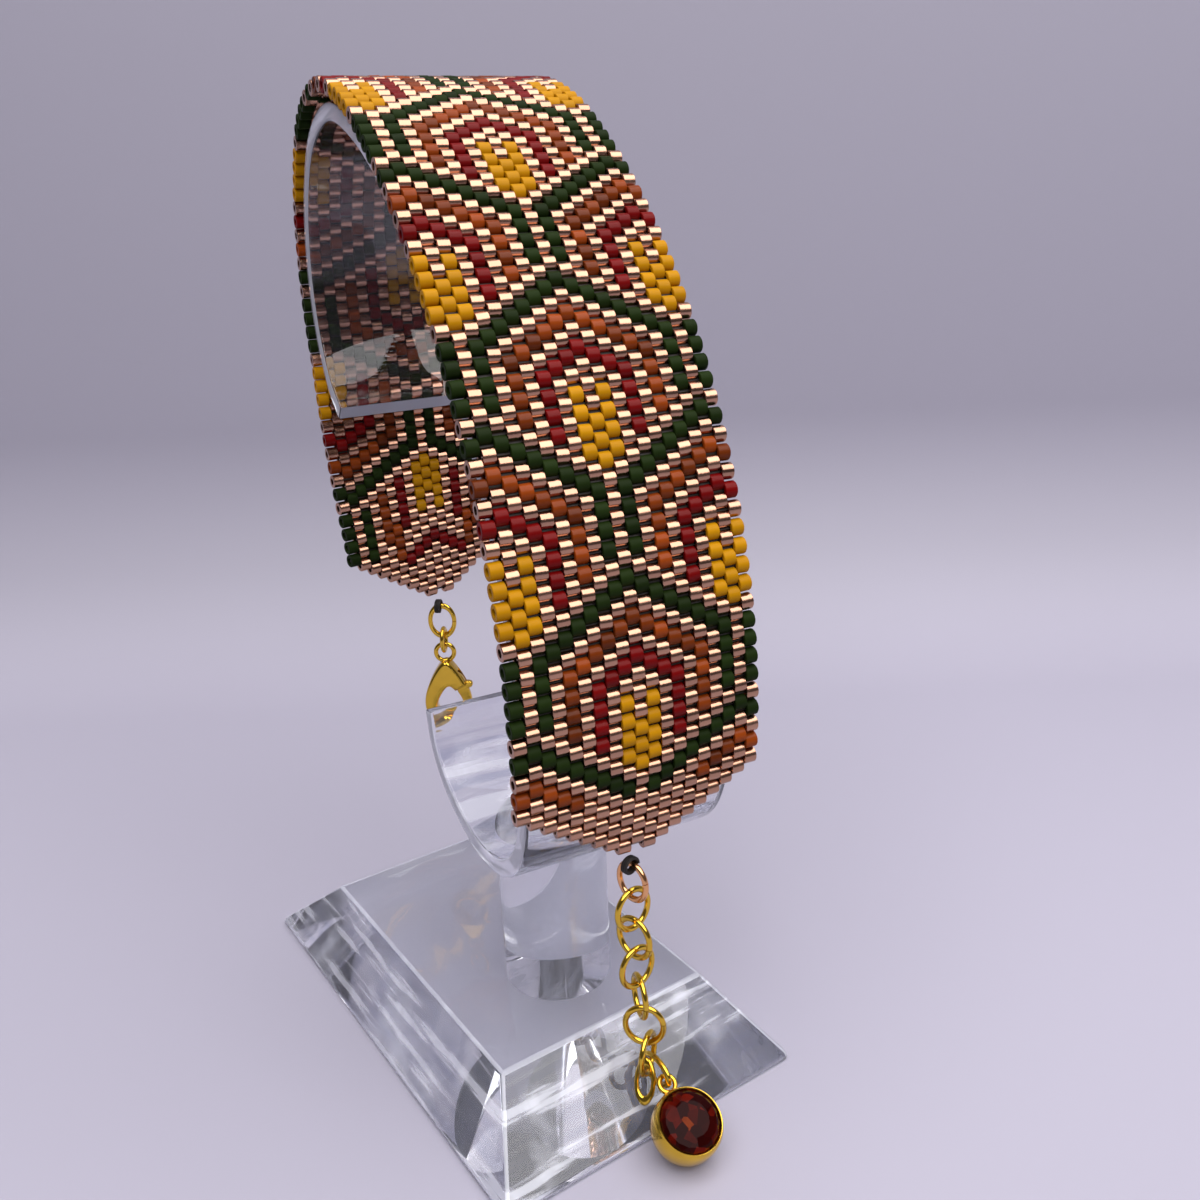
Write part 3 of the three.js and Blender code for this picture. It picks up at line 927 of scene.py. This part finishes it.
class BRACELET_OT_beads(bpy.types.Operator):
    """Weaves the beads of all five colours"""

    bl_idname = "bracelet.beads"
    bl_label = "Beads"

    def execute(self, context):
        sizes = context.scene.bracelet_beads
        chance = random.Random(19)
        bead = make_bead(sizes)
        tree = scatter_tree(bead)
        places = bead_places()
        looks = {
            "C": (rgba(sizes.champagne, 0.85), rgba(sizes.champagne, 1.08), 1.0, 0.22, 0.0),
            "G": (rgba(sizes.green, 0.7), rgba(sizes.green, 1.3), 0.0, 0.55, 0.0),
            "O": (rgba(sizes.orange, 0.3), rgba(sizes.orange, 1.35), 0.0, 0.45, 0.15),
            "R": (rgba(sizes.red, 0.75), rgba(sizes.red, 1.15), 0.0, 0.45, 0.1),
            "Y": (rgba(sizes.yellow, 0.85), rgba(sizes.yellow, 1.08), 0.0, 0.5, 0.05),
        }
        for letter, (name, slot) in BEAD_SLOTS.items():
            piece = scatter(name, places[letter], tree, sizes, chance)
            dress(piece, bead_finish(slot, *looks[letter]), slot, BODY)
        bpy.data.objects.remove(bead)
        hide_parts("beaded_band")
        return {"FINISHED"}


class BRACELET_OT_thread(bpy.types.Operator):
    """Runs the weaving thread through the beads and ties the end rings on"""

    bl_idname = "bracelet.thread"
    bl_label = "Thread"

    def execute(self, context):
        sizes = context.scene.bracelet_beads
        dark = thread_finish("thread")
        piece = tube("weaving_thread", self.passes(sizes), sizes.thread / 2)
        smooth(piece, 60.0)
        dress(piece, dark, "thread", BODY)
        for name, row in (("front", FRONT_THREAD), ("back", BACK_THREAD)):
            self.knot(name, *row, dark)
        return {"FINISHED"}

    def passes(self, sizes):
        """One pass of thread for each half-row, through its own beads and between those of the other columns."""
        steps = stations(DRAPE, row_places())
        reach = 0.36 * sizes.length / MM
        paths = []
        for h in range(LAST_ROW + 1, FIRST_ROW):
            ends = [d for d in range(-(COLUMNS // 2), COLUMNS // 2 + 1) if h in column_rows(d)]
            if len(ends) > 1:
                point = steps[FIRST_ROW - h][0]
                start, stop = ends[0] * COLUMN_PITCH - reach, ends[-1] * COLUMN_PITCH + reach
                paths.append([band_place(point, start) * MM, band_place(point, stop) * MM])
        return paths

    def knot(self, name, x, z, turn, material):
        """A few turns of thread round the ring, between the two end beads."""
        centre = Vector((x, BAND_Y - KNOT["shift"], z))
        across = Vector((math.cos(math.radians(turn)), math.sin(math.radians(turn)), 0))
        normal = Vector((-across.y, across.x, 0))
        path = []
        for i in range(KNOT["steps"] + 1):
            share = i / KNOT["steps"]
            angle = 2 * KNOT["turns"] * math.pi * share
            rise = Vector((0, 0, KNOT["half_height"] * math.sin(angle)))
            spot = centre + across * KNOT["half_width"] * math.cos(angle) + rise
            path.append((spot + normal * (share - 0.5) * KNOT["spread"]) * MM)
        piece = tube(name + "_thread_knot", [path], KNOT["strand"] * MM, resolution=2)
        smooth(piece, 60.0)
        dress(piece, material, "thread", BODY, name + "_thread_loop")


class BRACELET_OT_stand(bpy.types.Operator):
    """Makes the clear stand: bevelled base, round post and C-shaped cradle"""

    bl_idname = "bracelet.stand"
    bl_label = "Clear stand"

    def execute(self, context):
        look = context.scene.bracelet_stand
        stand = combined(self.cradle(look), self.base(look), "UNION")
        smooth(stand, 30.0)
        clear = acrylic_finish("clear_acrylic", look.tint)
        dress(stand, clear, "acrylic", BODY, "stand_base", "stand_cradle", "stand_post")
        self.mark_edges(stand)
        return {"FINISHED"}

    def mark_edges(self, stand):
        """Marks the cradle's sawn sides and upper end as frosted, the base's hips for painted highlights, the rest of
        the base and the post below the foot for painted light, and the bevels and the lower arm for painted reflection
        streaks and glints.
        """
        zone = {name: size * MM for name, size in STAND_ZONES.items()}
        heading = math.radians(CRADLE_TURN)
        side = Vector((-math.sin(heading), math.cos(heading), 0))
        line = stations(CRADLE, [0.0, traced(CRADLE)[1][-1]])
        end = Vector((line[1][1].x, 0, line[1][1].y))
        turn = Matrix.Rotation(math.radians(BASE_TURN), 3, "Z")
        edges = []
        streak_shares = []
        for face in stand.data.polygons:
            place = face.center
            lean = face.normal @ turn
            low = place.z < (BASE_HEIGHT + 0.1) * MM
            slope = low and 0.2 < lean.z < 0.98
            sawn = abs(face.normal.dot(side)) > 0.8 and place.z > zone["foot"]
            cut = face.normal.dot(end) > 0.9 and zone["end_low"] < place.z < zone["end_high"]
            # Hips get painted highlights.
            hip = low and (0.8 < lean.z < 0.99 or min(abs(lean.x), abs(lean.y)) > 0.2)
            # The base's top and lip and the post below the foot get painted light for the light that passes through
            # the clear stand.
            light_lifted = place.z < zone["foot"] and lean.z > -0.5 and not slope
            edges.append(1.0 if sawn or cut else HIP_HIGHLIGHT if hip else PAINTED_LIGHT_LIFT * light_lifted)
            arm = zone["foot"] < place.z < zone["arm_top"] and place.x < zone["arm_front"]
            # Slopes get painted reflection streaks, and the lower arm's upward faces get painted glints.
            if slope:
                streak_shares.append(1.0 if abs(lean.x) > 0.5 else SIDE_STREAK_SHARE)
            else:
                streak_shares.append(arm * min(max(1.6 * lean.z, 0.0), 1.0))
        stand.data.attributes.new("edge", "FLOAT", "FACE").data.foreach_set("value", edges)
        stand.data.attributes.new("bevel", "FLOAT", "FACE").data.foreach_set("value", streak_shares)

    def base(self, look):
        deselect()
        bpy.ops.mesh.primitive_plane_add(size=1.0)
        base = named("clear_base")
        base.scale = (BASE_LENGTH * MM, BASE_WIDTH * MM, 1.0)
        settle(base)
        bpy.ops.object.mode_set(mode="EDIT")
        bpy.ops.mesh.select_all(action="SELECT")
        extrude_up(BASE_LIP * MM)
        extrude_up((BASE_HEIGHT - BASE_LIP) * MM)
        scale_flat(BASE_TOP_LENGTH / BASE_LENGTH, BASE_TOP_WIDTH / BASE_WIDTH)
        bpy.ops.object.mode_set(mode="OBJECT")
        closed(base)
        limit = math.radians(20)
        apply_modifier(base, "BEVEL", width=look.softening, segments=3, limit_method="ANGLE", angle_limit=limit)
        placed(base, Matrix.Rotation(math.radians(BASE_TURN), 4, "Z"))
        smooth(base, 30.0)
        return base

    def cradle(self, look):
        """C-shaped strip with the round post already joined to it."""
        length = traced(CRADLE)[1][-1]
        line = stations(CRADLE, [length * i / 150 for i in range(151)])
        outer = [(p.x, p.y) for p, along, out in line]
        inner = [(p.x - out.x * CRADLE_THICKNESS, p.y - out.y * CRADLE_THICKNESS) for p, along, out in line]
        cradle = flat_shape("clear_stand", outer + inner[::-1], CRADLE_WIDTH, look.softening / MM)
        turn = Matrix.Rotation(math.radians(CRADLE_TURN), 4, "Z")
        placed(cradle, Matrix.Translation((0, CRADLE_Y * MM, 0)) @ turn)
        deselect()
        bpy.ops.mesh.primitive_cylinder_add(
            vertices=96,
            radius=POST["radius"] * MM,
            depth=(POST["high"] - POST["low"]) * MM,
            location=(POST["x"] * MM, POST["y"] * MM, (POST["high"] + POST["low"]) / 2 * MM),
        )
        post = named("clear_post")
        settle(post)
        return combined(cradle, post, "UNION")


class BRACELET_OT_chain(bpy.types.Operator):
    """Makes the rings: jump ring, extender chain, drop ring and the clasp's two rings"""

    bl_idname = "bracelet.chain"
    bl_label = "Chain and rings"

    def execute(self, context):
        look = context.scene.bracelet_metal
        gold = plated_finish("gold_plating", look.gold)
        rose = plated_finish("rose_plating", look.rose)
        chance = random.Random(7)
        for row in LINKS:
            matrix = upright(row["x"], row["y"], row["z"], row["turn"])
            front = row["name"] == "front_jump_ring"
            width, length = (JUMP_RING_WIDTH, JUMP_RING_LENGTH) if front else (LINK_WIDTH, LINK_LENGTH)
            self.ring(row["name"], LINK_WIRE, width, length, matrix, rose if front else gold, chance)
        for row in BACK_RINGS:
            matrix = upright(BACK_X, BAND_Y, row["z"], row["turn"])
            self.ring(row["name"], row["wire"], row["width"], row["length"], matrix, gold, chance)
        for name, row in (("drop_ring", DROP_RING), ("chain_end_link", END_LINK)):
            matrix, reach = between(row)
            self.ring(name, row["wire"], row["width"], reach, matrix, gold, chance)
        return {"FINISHED"}

    def ring(self, node, wire, width, length, matrix, material, chance):
        look = bpy.context.scene.bracelet_metal
        turn = chance.uniform(-40, 40)
        piece = open_ring(node + "_wire", wire, width, length, matrix, look.seam, turn)
        slot = "rose_gold" if node == "front_jump_ring" else "gold"
        dress(piece, material, slot, BODY, node)


class BRACELET_OT_drop(bpy.types.Operator):
    """Makes the drop: cup with its loop, and the faceted stone"""

    bl_idname = "bracelet.drop"
    bl_label = "Stone drop"

    def execute(self, context):
        look = context.scene.bracelet_metal
        gold = bpy.data.materials["gold_plating"]
        cup = turned_piece("drop_cup", CUP_PROFILE, 64)
        smooth(cup, 50.0)
        loop = torus("drop_loop", LOOP_RADIUS, LOOP_WIRE, (LOOP_REACH, 0, -CUP_DEPTH / 2), 0.0, (40, 14))
        smooth(loop, 60.0)
        cup = combined(cup, loop, "UNION")
        placed(cup, drop_matrix())
        smooth(cup, 50.0)
        dress(cup, gold, "gold", BODY, "drop_setting")
        stone = self.stone()
        placed(stone, drop_matrix())
        dress(stone, stone_finish("red_stone", look.stone), "stone", BODY, "drop_stone")
        return {"FINISHED"}

    def stone(self):
        """Round cut with a table, eight main crown facets and their halves, girdle and shallow pavilion."""
        deselect()
        bpy.ops.mesh.primitive_cylinder_add(
            vertices=16,
            radius=(STONE_RADIUS + GIRDLE["spare"]) * MM,
            depth=GIRDLE["height"] * MM,
            location=(0, 0, GIRDLE["z"] * MM),
        )
        stone = named("faceted_stone")
        settle(stone)
        bpy.ops.object.mode_set(mode="EDIT")
        for sign, rings in STONE_RINGS.items():
            select_where(stone, "FACE", lambda face, sign=sign: face.normal.z * sign > 0.9)
            radius = 1.0
            for share, rise, twist in rings:
                extrude_up(rise * MM)
                scale_flat(share / radius, share / radius)
                if twist:
                    bpy.ops.transform.rotate(value=math.radians(twist), orient_axis="Z", center_override=(0, 0, 0))
                radius = share
        bpy.ops.mesh.select_all(action="SELECT")
        bpy.ops.mesh.convex_hull()
        bpy.ops.object.mode_set(mode="OBJECT")
        closed(stone)
        return stone


class BRACELET_OT_clasp(bpy.types.Operator):
    """Makes the lobster clasp and its sprung lever"""

    bl_idname = "bracelet.clasp"
    bl_label = "Clasp"

    def execute(self, context):
        gold = bpy.data.materials["gold_plating"]
        place = upright(BACK_X, BAND_Y, CLASP_Z, CLASP_TURN)
        body = self.body()
        placed(body, place)
        smooth(body, 50.0)
        dress(body, gold, "gold", BODY, "clasp_body")
        lever = self.lever()
        placed(lever, place)
        smooth(lever, 50.0)
        dress(lever, gold, "gold", LEVER, "clasp_lever")
        return {"FINISHED"}

    def body(self):
        """Hook of the clasp with the eye on top and a slot that holds the lever between two cheeks."""
        outer = egg(CLASP_OUTER, 60, 12.3, 320.3)
        inner = egg(CLASP_INNER, 48, 44.0, 315.9)
        body = flat_shape("clasp_hook", outer + inner[::-1], CLASP_THICKNESS, CLASP_SOFTENING, 4)
        eye = torus("clasp_eye", CLASP_EYE["radius"], CLASP_EYE["wire"], (0, 0, CLASP_EYE["z"]), math.pi / 2, (36, 12))
        body = combined(body, eye, "UNION")
        bpy.ops.mesh.primitive_cube_add(size=1.0, location=(CLASP_SLOT["x"] * MM, 0, CLASP_SLOT["z"] * MM))
        slot = named("clasp_slot")
        slot.scale = (CLASP_SLOT["width"] * MM, CLASP_SLOT["depth"] * MM, CLASP_SLOT["height"] * MM)
        settle(slot)
        return combined(body, slot, "DIFFERENCE")

    def lever(self):
        """Sprung arm with its hub between the cheeks and a small thumb tab."""
        outer = egg(CLASP_OUTER, 24, -35.0, 27.9)
        hub = oval(*LEVER_HUB, 24, 40.0, 240.0)
        inner = egg(CLASP_INNER, 24, -34.4, 30.0)
        lever = flat_shape("clasp_trigger", outer + hub + inner[::-1], LEVER_THICKNESS, LEVER_SOFTENING)
        thumb = flat_shape("clasp_thumb", oval(*LEVER_THUMB, 24), LEVER_THICKNESS, LEVER_SOFTENING)
        return combined(lever, thumb, "UNION")


class BRACELET_OT_stage(bpy.types.Operator):
    """Sets the floor, the lights and the camera"""

    bl_idname = "bracelet.stage"
    bl_label = "Floor, lights and camera"

    def execute(self, context):
        look = context.scene.bracelet_stage
        self.floor(look)
        self.lights(look)
        self.camera()
        return {"FINISHED"}

    def floor(self, look):
        """Pale floor just under the base, which sweeps up into a backdrop behind the object."""
        back = FLOOR["back"]
        deselect()
        bpy.ops.mesh.primitive_plane_add(size=1.0, location=(FLOOR["x"], 0, -0.02 * MM))
        floor = named("floor")
        floor.scale = (FLOOR["length"], FLOOR["width"], 1.0)
        settle(floor)
        bpy.ops.object.mode_set(mode="EDIT")
        select_where(floor, "EDGE", lambda a, b: a.x < back and b.x < back)
        extrude_up(FLOOR["rise"])
        select_where(floor, "EDGE", lambda a, b: max(a.z, b.z) < 0.01 and a.x < back and b.x < back)
        bpy.ops.mesh.bevel(offset=FLOOR["sweep"], segments=24, affect="EDGES")
        bpy.ops.object.mode_set(mode="OBJECT")
        placed(floor, Matrix.Rotation(math.radians(FLOOR["turn"]), 4, "Z"))
        smooth(floor, 60.0)
        floor.data.materials.append(floor_finish("pale_floor", look.floor))

    def lights(self, look):
        """One broad overhead lamp and a dim even surround."""
        light = bpy.data.lights.new("key_light", "AREA")
        light.shape = "DISK"
        light.size = KEY_LIGHT["size"]
        light.energy = look.key
        light.color = KEY_LIGHT["colour"]
        lamp = bpy.data.objects.new("key_light", light)
        lamp.location = KEY_LIGHT["place"]
        aim = Vector(KEY_LIGHT["target"]) - Vector(KEY_LIGHT["place"])
        lamp.rotation_euler = aim.to_track_quat("-Z", "Y").to_euler()
        scene = bpy.context.scene
        scene.collection.objects.link(lamp)
        scene.view_settings.view_transform = "Standard"
        scene.world = bpy.data.worlds.new("soft_air")
        scene.world.use_nodes = True
        air = scene.world.node_tree.nodes["Background"]
        air.inputs["Color"].default_value = AIR_COLOUR
        air.inputs["Strength"].default_value = look.air

    def camera(self):
        right = Vector(CAMERA["right"]).normalized()
        back = Vector(CAMERA["back"])
        back = (back - right * back.dot(right)).normalized()
        turned = Matrix((right, back.cross(right), back)).transposed().to_4x4()
        lens = bpy.data.cameras.new("camera")
        lens.lens = CAMERA["lens"]
        lens.sensor_width = 36.0
        lens.clip_start = 0.005
        camera = bpy.data.objects.new("camera", lens)
        camera.matrix_world = Matrix.Translation(CAMERA["place"]) @ turned
        bpy.context.scene.collection.objects.link(camera)
        bpy.context.scene.camera = camera


OPERATORS = (
    BRACELET_OT_beads,
    BRACELET_OT_thread,
    BRACELET_OT_stand,
    BRACELET_OT_chain,
    BRACELET_OT_drop,
    BRACELET_OT_clasp,
    BRACELET_OT_stage,
)


class BRACELET_PT_panel(bpy.types.Panel):
    bl_label = "Bracelet"
    bl_idname = "BRACELET_PT_panel"
    bl_space_type = "VIEW_3D"
    bl_region_type = "UI"
    bl_category = "Bracelet"

    def draw(self, context):
        for operator in OPERATORS:
            self.layout.operator(operator.bl_idname)


GROUPS = {
    "bracelet_beads": BeadSizes,
    "bracelet_stand": StandSizes,
    "bracelet_metal": MetalSizes,
    "bracelet_stage": StageLook,
}


def register():
    for group in GROUPS.values():
        bpy.utils.register_class(group)
    for name, group in GROUPS.items():
        setattr(bpy.types.Scene, name, bpy.props.PointerProperty(type=group))
    for operator in OPERATORS:
        bpy.utils.register_class(operator)
    bpy.utils.register_class(BRACELET_PT_panel)


def unregister():
    bpy.utils.unregister_class(BRACELET_PT_panel)
    for operator in reversed(OPERATORS):
        bpy.utils.unregister_class(operator)
    for name, group in GROUPS.items():
        delattr(bpy.types.Scene, name)
        bpy.utils.unregister_class(group)


def main():
    register()
    for operator in OPERATORS:
        area, name = operator.bl_idname.split(".")
        getattr(getattr(bpy.ops, area), name)()


if __name__ == "__main__":
    main()
